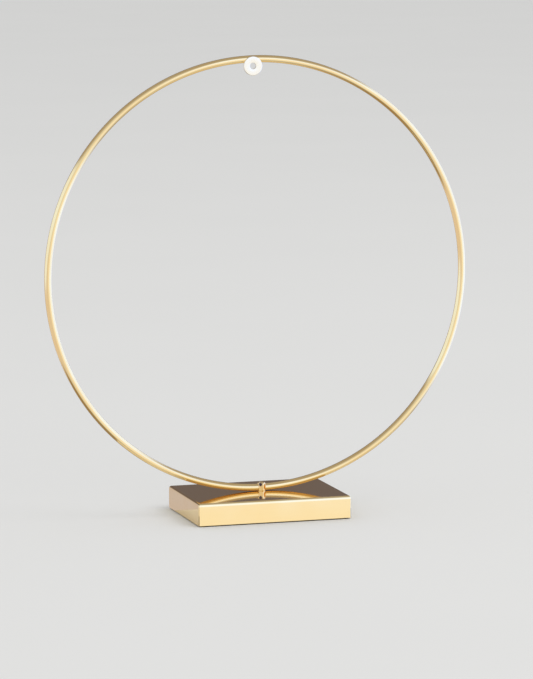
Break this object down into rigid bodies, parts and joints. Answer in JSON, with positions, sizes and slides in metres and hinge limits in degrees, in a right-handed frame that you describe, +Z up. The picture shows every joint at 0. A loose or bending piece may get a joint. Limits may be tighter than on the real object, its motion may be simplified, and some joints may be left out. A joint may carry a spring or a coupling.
{
  "type": "wreath hoop stand",
  "caption": "Tabletop hoop stand for wreaths: an upright round rod hoop with a hanging eye, turning on a flat weighted box base.",
  "frame": {"origin": "middle of the footprint, on the surface that the stand rests on", "axes": "+Z up, -Y the front, where the hanging eye is, and the hoop lies in the XZ plane"},
  "size_m": [0.305, 0.08, 0.3214],
  "materials": {
    "gold_rod": "gold electroplate on steel, polished",
    "gold_boss": "gold electroplate on steel, polished",
    "pale_gold_eye": "pale champagne gold plate on steel, satin",
    "gold_sheet": "gold electroplate on folded sheet steel, mirror polished",
    "cast_filler": "raw cast mineral filler, matt",
    "eva_foam": "closed-cell foam, matt",
    "zinc_steel": "bright zinc plate"
  },
  "bodies": {
    "base": {"base_shell": "gold_sheet", "ballast_block": "cast_filler", "base_pad": "eva_foam", "flat_washer": "zinc_steel"},
    "hoop": {"hoop": "gold_rod", "threaded_boss": "gold_boss", "hanging_eye": "pale_gold_eye", "clamp_screw": "zinc_steel", "lock_washer": "zinc_steel"}
  },
  "joints": [
    {"name": "hoop_swivel", "type": "hinge", "parent": "base", "child": "hoop", "pos_m": [0.00157, 0, 0.0163], "axis": [0, 0, 1], "continuous": true}
  ]
}
